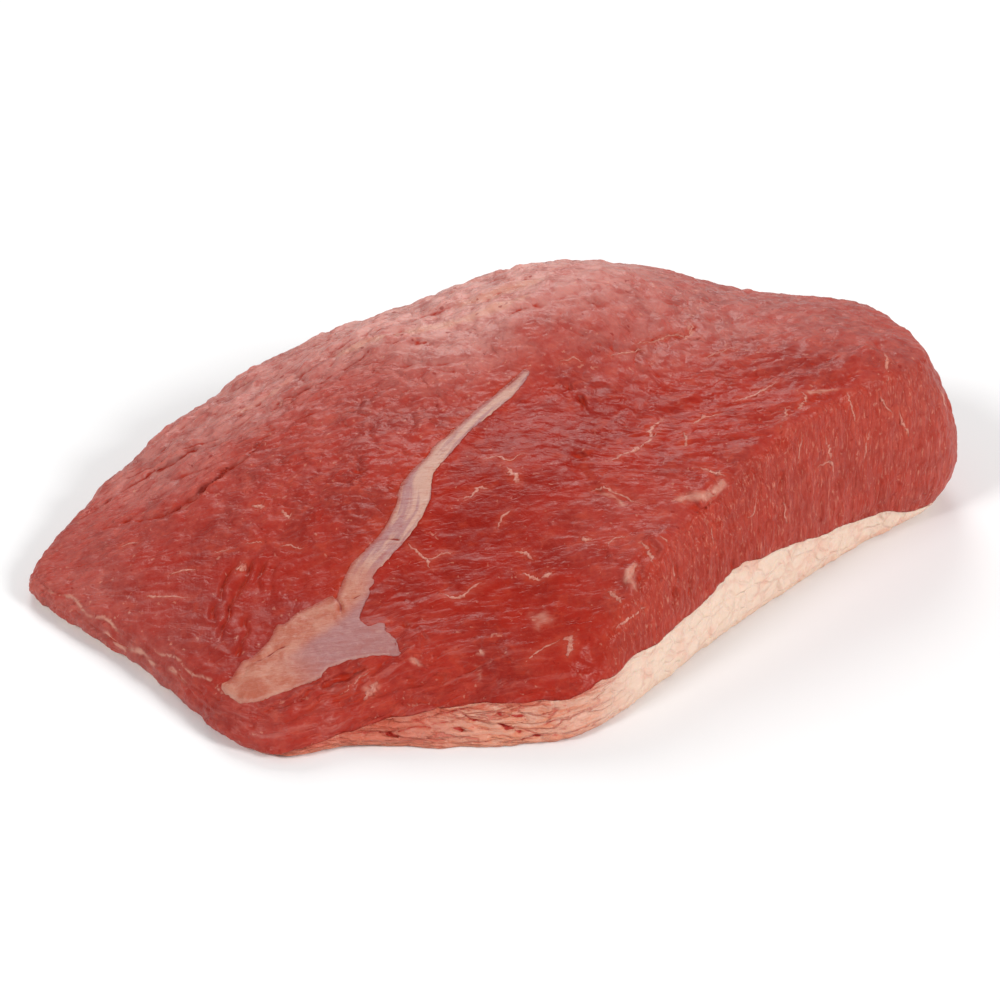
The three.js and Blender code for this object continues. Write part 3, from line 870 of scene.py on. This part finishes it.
def layVeins(tree):
    mesh = bmesh.new()
    core = mesh.verts.layers.float.new("core")
    sides, thick = veinLook["sides"], veinLook["height"]
    (slow, farSway), (fast, nearSway) = veinLook["sway"]
    for number, (places, half) in enumerate(veins):
        path = smoothPath(onSurface(tree, places), 8)
        bright = 0.55 + 0.45 * min(1, half / 0.45)
        rings = []
        for k, p in enumerate(path):
            hit, normal, _, _ = tree.find_nearest(Vector(p) * mm)
            run = Vector(path[min(k + 1, len(path) - 1)] - path[max(k - 1, 0)]).normalized()
            across = normal.cross(run).normalized()
            share = k / (len(path) - 1)
            uneven = abs(noise.noise(Vector((k * 0.4, number * 7.3, 0))))
            wide = veinLook["breadth"] * half * (veinLook["thinnest"] + veinLook["uneven"] * uneven)
            wide *= math.sin(math.pi * (0.04 + 0.92 * share)) ** 0.6
            sway = farSway * noise.noise(Vector((k * slow, number * 3.1, 5)))
            sway += nearSway * noise.noise(Vector((k * fast, number * 3.1, 9)))
            centre = Vector(hit) / mm + across * sway + normal * (veinLook["crown"] - thick)
            ring = []
            for turn in np.arange(sides) * 2 * math.pi / sides:
                place = centre + across * wide * math.cos(turn) + normal * thick * math.sin(turn)
                ring.append(mesh.verts.new(place * mm))
                crest = max(0, (math.sin(turn) - 0.5) / 0.5)
                ring[-1][core] = crest * math.sin(math.pi * share) ** 0.4 * bright
            rings.append(ring)
        for a, b in zip(rings, rings[1:]):
            for j in range(sides):
                mesh.faces.new((a[j], a[(j + 1) % sides], b[(j + 1) % sides], b[j]))
        mesh.faces.new(rings[0][::-1])
        mesh.faces.new(rings[-1])
    bmesh.ops.recalc_face_normals(mesh, faces=mesh.faces[:])
    made = bpy.data.objects.new("marbling", bpy.data.meshes.new("marbling"))
    mesh.to_mesh(made.data)
    mesh.free()
    bpy.context.scene.collection.objects.link(made)
    return made


marbling = layVeins(treeOf(lean))


def glowAround(obj, veinsObj):              # how near each point is to a vein, 1 beside it
    veinTree = pointTreeOf(veinsObj)
    far = np.array([veinTree.find(v.co)[2] for v in obj.data.vertices]) / mm
    keep(obj, "glow", np.exp(-(far / veinLook["glow"]) ** 2))


glowAround(lean, marbling)
print("marbling", len(marbling.data.polygons))


# materials

def material(name):
    made = bpy.data.materials.new(name)
    made.use_nodes = True
    made.node_tree.nodes.clear()
    return made, made.node_tree


def add(tree, kind, values=None, **settings):
    node = tree.nodes.new("ShaderNode" + kind)
    for name, value in settings.items():
        setattr(node, name, value)
    for key, value in (values or {}).items():
        if isinstance(value, bpy.types.NodeSocket):
            tree.links.new(value, node.inputs[key])
        else:
            node.inputs[key].default_value = value
    return node.outputs


def reading(tree, name, output="Fac"):
    return add(tree, "Attribute", attribute_name=name)[output]


def scaled(tree, vector, sizes):            # sizes in mm: the pattern's length along each axis
    return add(tree, "VectorMath", {0: vector, 1: tuple(1 / size for size in sizes)}, operation="MULTIPLY")[0]


def noiseOf(tree, vector, sizes, detail, roughness, distortion=0.0):
    return add(tree, "TexNoise", {
        "Vector": scaled(tree, vector, sizes), "Scale": 1.0, "Detail": detail, "Roughness": roughness,
        "Distortion": distortion,
    })["Fac"]


def between(tree, value, low, high, start=0.0, end=1.0):        # start at low, end at high, smooth between
    return add(tree, "MapRange", {
        "Value": value, "From Min": low, "From Max": high, "To Min": start, "To Max": end,
    }, interpolation_type="SMOOTHSTEP")[0]


def maths(tree, operation, a, b):
    return add(tree, "Math", {0: a, 1: b}, operation=operation)[0]


def times(tree, a, b):
    return maths(tree, "MULTIPLY", a, b)


def without(tree, a):                       # 1 less a
    return maths(tree, "SUBTRACT", 1.0, a)


def mixed(tree, share, a, b):               # numbers
    return add(tree, "Mix", {0: share, 2: a, 3: b}, data_type="FLOAT")[0]


def tinted(tree, share, a, b):              # colours
    a = a if isinstance(a, bpy.types.NodeSocket) else (*a, 1)
    b = b if isinstance(b, bpy.types.NodeSocket) else (*b, 1)
    return add(tree, "Mix", {0: share, 6: a, 7: b}, data_type="RGBA")[2]


def bumped(tree, height, distance):         # distance in mm
    return add(tree, "Bump", {"Height": height, "Distance": distance * mm, "Strength": 1.0})[0]


def finished(tree, values):
    shader = add(tree, "BsdfPrincipled", values)
    add(tree, "OutputMaterial", {"Surface": shader[0]})


def plain(name, colour, roughness):
    made, tree = material(name)
    finished(tree, {"Base Color": (*colour, 1), "Roughness": roughness})
    return made


def humpsOf(tree, pattern, width):          # rounded humps parted by creases where a noise crosses its middle
    off = maths(tree, "ABSOLUTE", maths(tree, "SUBTRACT", pattern, 0.5), 0.0)
    return between(tree, off, 0.0, width)


def cellsOf(tree, vector, sizes, push, width):      # uneven cells, 1 inside, 0 on the thin lines between them
    vector = scaled(tree, vector, sizes)
    sway = add(tree, "TexNoise", {"Vector": vector, "Scale": 0.8, "Detail": 2.0})["Color"]
    pushed = add(tree, "VectorMath", {0: sway, 1: (push, push, push), 2: vector}, operation="MULTIPLY_ADD")[0]
    gap = add(tree, "TexVoronoi", {"Vector": pushed, "Scale": 1.0}, feature="DISTANCE_TO_EDGE")["Distance"]
    return between(tree, gap, 0.0, width)


def weighed(tree, *terms):                  # sum of value * weight
    total = None
    for value, weight in terms:
        part = times(tree, value, weight)
        total = part if total is None else maths(tree, "ADD", total, part)
    return total


def layered(tree, look, colour, *layers):   # tints of a look, laid one over the other
    for share, name in layers:
        colour = tinted(tree, share, colour, look[name])
    return colour


def placeOf(tree):                          # where a point is, in mm
    place = add(tree, "TexCoord")["Object"]
    return add(tree, "VectorMath", {0: place, "Scale": 1000.0}, operation="SCALE")[0]


meatLook = {
    "deep": (0.25, 0.006, 0.0015), "red": (0.34, 0.011, 0.003), "pale": (0.46, 0.06, 0.032),
    # hollowShade: painted shade, laid in the low parts of the bump
    "orange": (0.44, 0.034, 0.009), "violet": (0.3, 0.02, 0.014), "hollowShade": (0.24, 0.006, 0.002),
    # creaseShade: painted shade for creases and hollows, a saturated red
    "creaseShade": (0.4, 0.024, 0.008), "filmAndSheen": (0.64, 0.31, 0.27), "bloom": (0.6, 0.28, 0.21),
    "fleck": (0.62, 0.27, 0.19), "dull": 0.46, "glossy": 0.33,
    "finish": {
        "Subsurface Weight": 0.15, "Subsurface Radius": (1.0, 0.25, 0.15), "Subsurface Scale": 0.002,
        "IOR": 1.33, "Specular IOR Level": 0.4, "Specular Tint": (1.0, 0.9, 0.82, 1.0),
        "Coat Weight": 0.03, "Coat Roughness": 0.15, "Coat IOR": 1.35,
    },
}


def makeMeat():
    made, tree = material("moist meat")
    placeMm = placeOf(tree)
    grain = reading(tree, "grain", "Vector")
    upright, facet, pale, wrinkles = (reading(tree, n) for n in ("upright", "facet", "pale", "wrinkles"))
    stand, swell, bloom, halo = (reading(tree, n) for n in ("stand", "swell", "bloom", "halo"))
    glow = reading(tree, "glow")
    strands = between(tree, reading(tree, "strands"), 0.25, 0.9)
    lively = between(tree, wrinkles, 0.15, 0.7, 0.12, 1.0)

    def ways(along, over, detail, roughness, sway):     # one fibre noise, laid along the grain of each area
        flat = noiseOf(tree, grain, (along, over, 4), detail, roughness, sway)
        side = noiseOf(tree, placeMm, (over, over, along), detail, roughness, sway)
        front = noiseOf(tree, placeMm, (over, along, 4), detail, roughness, sway)
        return mixed(tree, facet, mixed(tree, upright, flat, side), front)

    # patterns that follow the grain
    fibre = ways(4, 1.2, 2, 0.5, 0.5)
    thread = ways(4, 0.6, 2, 0.6, 0.4)
    strand = noiseOf(tree, grain, (22, 1.3, 4), 3, 0.6, 0.4)
    humps = humpsOf(tree, noiseOf(tree, grain, (7, 2.2, 5), 1.5, 0.5, 0.8), 0.14)
    ripple = noiseOf(tree, grain, (6, 1.7, 5), 1, 0.5, 0.7)
    broken = between(tree, noiseOf(tree, placeMm, (8, 8, 8), 3, 0.6), 0.35, 0.6)
    humps = mixed(tree, times(tree, broken, times(tree, wrinkles, without(tree, upright))), 0.9, humps)

    # patterns of their own
    cells = mixed(tree, upright, 1.0, cellsOf(tree, placeMm, (1.9, 1.9, 8), 0.7, 0.2))
    pebble = noiseOf(tree, placeMm, (1.4, 1.4, 1.4), 2, 0.5)
    patch = noiseOf(tree, placeMm, (15, 15, 15), 4, 0.5, 0.4)
    blotch = noiseOf(tree, placeMm, (5, 5, 5), 3, 0.6, 0.5)
    other = noiseOf(tree, placeMm, (8, 8, 9), 4, 0.55, 0.8)
    fleck = between(tree, noiseOf(tree, placeMm, (1.9, 1.9, 1.9), 2, 0.5, 0.3), 0.67, 0.75)
    pit = between(tree, noiseOf(tree, placeMm, (2.3, 2.3, 2.3), 1, 0.5, 0.2), 0.29, 0.24)
    blooming = weighed(tree, (bloom, 1.0), (maths(tree, "SUBTRACT", fibre, 0.5), 0.7))

    colour = tinted(tree, between(tree, patch, 0.36, 0.62), meatLook["deep"], meatLook["red"])
    colour = layered(
        tree, meatLook, colour,
        (between(tree, other, 0.55, 0.7, 0, 0.55), "violet"),
        (between(tree, blotch, 0.5, 0.75, 0, 0.6), "orange"),
        (times(tree, lively, between(tree, fibre, 0.48, 0.75, 0, 0.26)), "pale"),
        (between(tree, pebble, 0.5, 0.75, 0, 0.25), "pale"),
        (times(tree, lively, between(tree, thread, 0.55, 0.72, 0, 0.4)), "pale"),
        # painted shade: the low threads of the bump darker
        (times(tree, lively, between(tree, thread, 0.45, 0.32, 0, 0.3)), "hollowShade"),
        (times(tree, strands, between(tree, strand, 0.52, 0.7, 0, 0.16)), "filmAndSheen"),
        # painted shade: the grooves between the strands darker
        (times(tree, strands, between(tree, strand, 0.48, 0.34, 0, 0.45)), "hollowShade"),
        # partly a whitish membrane, partly painted sheen: the pale areas tinted whitish
        (times(tree, pale, between(tree, blotch, 0.3, 0.6, 0.5, 1.0)), "filmAndSheen"),
        # painted shade: where there are few wrinkles, on the low front faces, the red is deeper
        (between(tree, wrinkles, 0.5, 0.15, 0, 0.44), "deep"),
        (times(tree, upright, 0.35), "orange"),
        (times(tree, upright, between(tree, thread, 0.55, 0.75, 0, 0.5)), "fleck"),
        (times(tree, bloom, between(tree, blooming, 0.1, 0.7)), "bloom"),
        (times(tree, halo, 0.6), "orange"),
        (times(tree, fleck, mixed(tree, pale, 0.35, 0.8)), "fleck"),
        (times(tree, glow, 0.4), "pale"),
        # painted shade: the lines between cells, the creases between humps and the pits darker
        (between(tree, cells, 1.0, 0.0, 0, 0.28), "hollowShade"),
        (between(tree, humps, 0.5, 0.0, 0, 0.4), "hollowShade"),
        (times(tree, pit, 0.6), "hollowShade"),
        # painted shade: points sunk below their near and broad surroundings tinted a saturated red
        (between(tree, stand, -0.03, -0.3, 0, 0.85), "creaseShade"),
        (between(tree, swell, -0.1, -0.8, 0, 0.5), "creaseShade"),
        # painted highlight: points that stand above their surroundings paler
        (between(tree, stand, 0.05, 0.3, 0, 0.4), "pale"),
    )
    worn = mixed(tree, upright, between(tree, wrinkles, 0.1, 0.8), 0.15)
    height = weighed(tree, (ripple, times(tree, worn, 0.38)), (humps, 0.3), (fibre, 0.08), (thread, 0.04),
                     (cells, 0.1), (pebble, 0.16), (times(tree, strands, strand), 0.7))
    finished(tree, {
        **meatLook["finish"], "Base Color": colour, "Normal": bumped(tree, height, 1.0),
        "Roughness": between(tree, blotch, 0.3, 0.7, meatLook["glossy"], meatLook["dull"]),
    })
    return made


fatLook = {
    "cream": (0.78, 0.58, 0.46), "pink": (0.74, 0.42, 0.32), "orange": (0.63, 0.22, 0.13),
    "line": (0.66, 0.33, 0.25), "layer": (0.64, 0.31, 0.22), "red": (0.45, 0.03, 0.015),
    "ruddy": (0.5, 0.09, 0.05), "edge": (0.75, 0.4, 0.24),
    "finish": {
        "Roughness": 0.42, "Subsurface Weight": 0.3, "Subsurface Radius": (1.0, 0.5, 0.3),
        "Subsurface Scale": 0.003, "IOR": 1.4,
    },
}


def makeFat():
    made, tree = material("waxy fat")
    placeMm = placeOf(tree)
    stand, toFat = reading(tree, "stand"), reading(tree, "toFat")
    patch = noiseOf(tree, placeMm, (9, 9, 6), 4, 0.5, 0.5)
    fine = noiseOf(tree, placeMm, (1.4, 1.4, 1.4), 4, 0.55)
    layer = noiseOf(tree, placeMm, (10, 10, 1.5), 4, 0.6, 0.6)
    split = humpsOf(tree, noiseOf(tree, placeMm, (16, 16, 2.6), 3, 0.55, 0.5), 0.05)
    lobes = cellsOf(tree, placeMm, (6, 6, 4.5), 1.2, 0.16)
    faint = between(tree, noiseOf(tree, placeMm, (7, 7, 7), 2, 0.5), 0.45, 0.65)
    spot = between(tree, noiseOf(tree, placeMm, (3.2, 3.2, 1.0), 3, 0.6, 0.5), 0.62, 0.74)
    xyz = add(tree, "SeparateXYZ", {0: placeMm})
    front = times(tree, between(tree, xyz[0], 40, 16), between(tree, xyz[1], -60, -75))
    far = between(tree, xyz[0], 0, -28)
    low = between(tree, xyz[2], 4, 0)
    edge = times(tree, between(tree, toFat, -3.5, 0.0), between(tree, layer, 0.42, 0.58))

    outer = tinted(tree, between(tree, patch, 0.48, 0.72, 0, 0.8), fatLook["cream"], fatLook["pink"])
    outer = layered(
        tree, fatLook, outer,
        (times(tree, faint, between(tree, lobes, 0.8, 0.0, 0, 0.3)), "line"),
        (times(tree, low, 0.4), "edge"),
    )
    torn = tinted(tree, between(tree, layer, 0.45, 0.62), fatLook["layer"], fatLook["orange"])
    torn = layered(
        tree, fatLook, torn,
        (between(tree, layer, 0.42, 0.3, 0, 0.5), "pink"),
        (between(tree, split, 0.8, 0.0, 0, 0.55), "red"),
        (times(tree, far, 0.7), "ruddy"),
        (times(tree, low, between(tree, layer, 0.4, 0.6, 0.2, 0.9)), "orange"),
    )
    colour = layered(
        tree, fatLook, tinted(tree, front, outer, torn),
        (times(tree, edge, mixed(tree, front, 0.15, 0.8)), "ruddy"),
        (times(tree, spot, mixed(tree, front, 0.1, 0.6)), "red"),
        (times(tree, front, between(tree, stand, -0.04, -0.3)), "red"),
    )
    height = weighed(tree, (mixed(tree, front, patch, layer), 0.7), (lobes, 0.25), (fine, 0.3),
                     (times(tree, front, split), 0.35))
    finished(tree, {**fatLook["finish"], "Base Color": colour, "Normal": bumped(tree, height, 1.0)})
    return made


seamTint = {
    "cream": (0.54, 0.3, 0.23), "lavender": (0.38, 0.17, 0.165), "arm": (0.42, 0.1, 0.053),
    "buff": (0.5, 0.19, 0.125), "red": (0.34, 0.05, 0.03), "bright": (0.52, 0.29, 0.24),
    "dark": (0.28, 0.02, 0.012), "silver": (0.35, 0.13, 0.12),
    "finish": {
        "Roughness": 0.4, "Subsurface Weight": 0.2, "Subsurface Radius": (1.0, 0.4, 0.3),
        "Subsurface Scale": 0.0015, "IOR": 1.4,
    },
}


def makeSeam():
    made, tree = material("seam fat and silverskin")
    placeMm = placeOf(tree)
    way = reading(tree, "way", "Vector")
    stand, fromFoot, fromLeft = (reading(tree, n) for n in ("stand", "fromFoot", "fromLeft"))
    patch = noiseOf(tree, placeMm, (6, 6, 6), 4, 0.55, 0.4)
    band = noiseOf(tree, way, (26, 2.6, 9), 3, 0.55, 0.3)
    cross = noiseOf(tree, placeMm, (6, 0.9, 1.2), 4, 0.65, 0.4)
    crack = between(tree, noiseOf(tree, placeMm, (3.2, 0.7, 0.9), 3, 0.6, 0.4), 0.66, 0.74)
    lines = noiseOf(tree, placeMm, (22, 1.1, 2.2), 4, 0.6, 0.3)
    mottle = noiseOf(tree, placeMm, (1.2, 1.2, 1.2), 4, 0.6)
    parts = add(tree, "SeparateXYZ", {0: way})
    web = between(tree, parts[0], 76, 90)                # 0 on the stem, 1 on the arm and web
    silver = times(tree, between(tree, parts[0], 122, 108), between(tree, parts[1], 0, 4.5))
    silver = times(tree, web, silver)

    stem = tinted(tree, between(tree, band, 0.42, 0.6), seamTint["cream"], seamTint["lavender"])
    arm = tinted(tree, between(tree, patch, 0.38, 0.62), seamTint["arm"], seamTint["buff"])
    sheet = tinted(tree, between(tree, lines, 0.4, 0.65, 0, 0.7), seamTint["silver"], seamTint["lavender"])
    sheet = tinted(tree, between(tree, patch, 0.55, 0.75, 0, 0.5), sheet, seamTint["arm"])
    colour = tinted(tree, silver, tinted(tree, web, stem, arm), sheet)
    colour = layered(
        tree, seamTint, colour,
        (between(tree, mottle, 0.5, 0.75, 0, 0.3), "bright"),
        (between(tree, mottle, 0.45, 0.25, 0, 0.35), "red"),
        (times(tree, without(tree, web), between(tree, cross, 0.52, 0.72, 0, 0.4)), "red"),
        (times(tree, crack, mixed(tree, web, 0.6, 0.1)), "dark"),
        (between(tree, fromLeft, 1.8, 0.0, 0, 0.8), "red"),
        # painted highlight: a pale glint along the foot edge of the web
        (between(tree, fromFoot, 0.8, 0.2, 0, 0.3), "bright"),
        # painted shade: points sunk below their surroundings darker
        (between(tree, stand, -0.03, -0.2), "dark"),
    )
    height = weighed(tree, (cross, 0.3), (lines, 0.15), (patch, 0.3), (mottle, 0.12))
    finished(tree, {**seamTint["finish"], "Base Color": colour, "Normal": bumped(tree, height, 1.0)})
    return made


def makeVeins():
    made, tree = material("vein fat")
    grit = noiseOf(tree, placeOf(tree), (1.2, 1.2, 1.2), 4, 0.6)
    share = times(tree, reading(tree, "core"), between(tree, grit, 0.3, 0.6, 0.35, 1.0))
    colour = tinted(tree, share, veinLook["red"], veinLook["pale"])
    finished(tree, {**veinLook["finish"], "Base Color": colour, "Normal": bumped(tree, grit, 0.1)})
    return made


def dress(obj, look, slot, *nodes):
    obj.data.materials.clear()
    obj.data.materials.append(look)
    select(obj)
    bpy.ops.object.shade_smooth()
    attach(obj, "root")
    if nodes:
        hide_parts(*nodes)


dress(lean, makeMeat(), "lean", "lean")
dress(fat, makeFat(), "fat", "fat_cap")
dress(seam, makeSeam(), "silverskin", "seam")
dress(marbling, makeVeins(), "silverskin")
print("materials on")

# studio
studio = {
    "lens": 100, "elevation": 32, "distance": 0.80085, "target": (-0.00097, -0.00005, 0.019),
    "floorSize": 8, "floorGap": 0.0001, "floorTone": 0.9, "sky": 0.42,
}
suns = [                                    # name, from where, strength, softness in degrees
    ("left", (-0.7, -0.5, 0.75), 1.3, 16), ("right", (0.9, -0.5, 0.6), 1.85, 16),
    ("far", (-0.12, 0.7, 0.6), 1.0, 26),
]


def makeStudio():
    tilt = math.radians(studio["elevation"])
    x, y, z = studio["target"]
    place = (x, y - studio["distance"] * math.cos(tilt), z + studio["distance"] * math.sin(tilt))
    bpy.ops.object.camera_add(location=place, rotation=(math.pi / 2 - tilt, 0, 0))
    camera = bpy.context.object
    camera.data.lens = studio["lens"]
    camera.data.sensor_width = 36
    bpy.context.scene.camera = camera
    bpy.ops.mesh.primitive_plane_add(size=studio["floorSize"], location=(0, 0, -studio["floorGap"]))
    floor = bpy.context.object
    floor.name = "floor"
    tone = studio["floorTone"]
    floor.data.materials.append(plain("floor", (tone, tone, tone), 0.7))
    world = bpy.data.worlds.new("studio")
    world.use_nodes = True
    sky = world.node_tree.nodes["Background"]
    sky.inputs["Color"].default_value = (1, 1, 1, 1)
    sky.inputs["Strength"].default_value = studio["sky"]
    bpy.context.scene.world = world
    bpy.context.scene.view_settings.view_transform = "Standard"
    for name, spot, strength, soft in suns:
        bpy.ops.object.light_add(type="SUN", location=spot)
        sun = bpy.context.object
        sun.name = name + " sun"
        sun.data.energy = strength
        sun.data.angle = math.radians(soft)
        sun.rotation_euler = (-Vector(spot)).to_track_quat("-Z", "Y").to_euler()


makeStudio()
print("studio set")
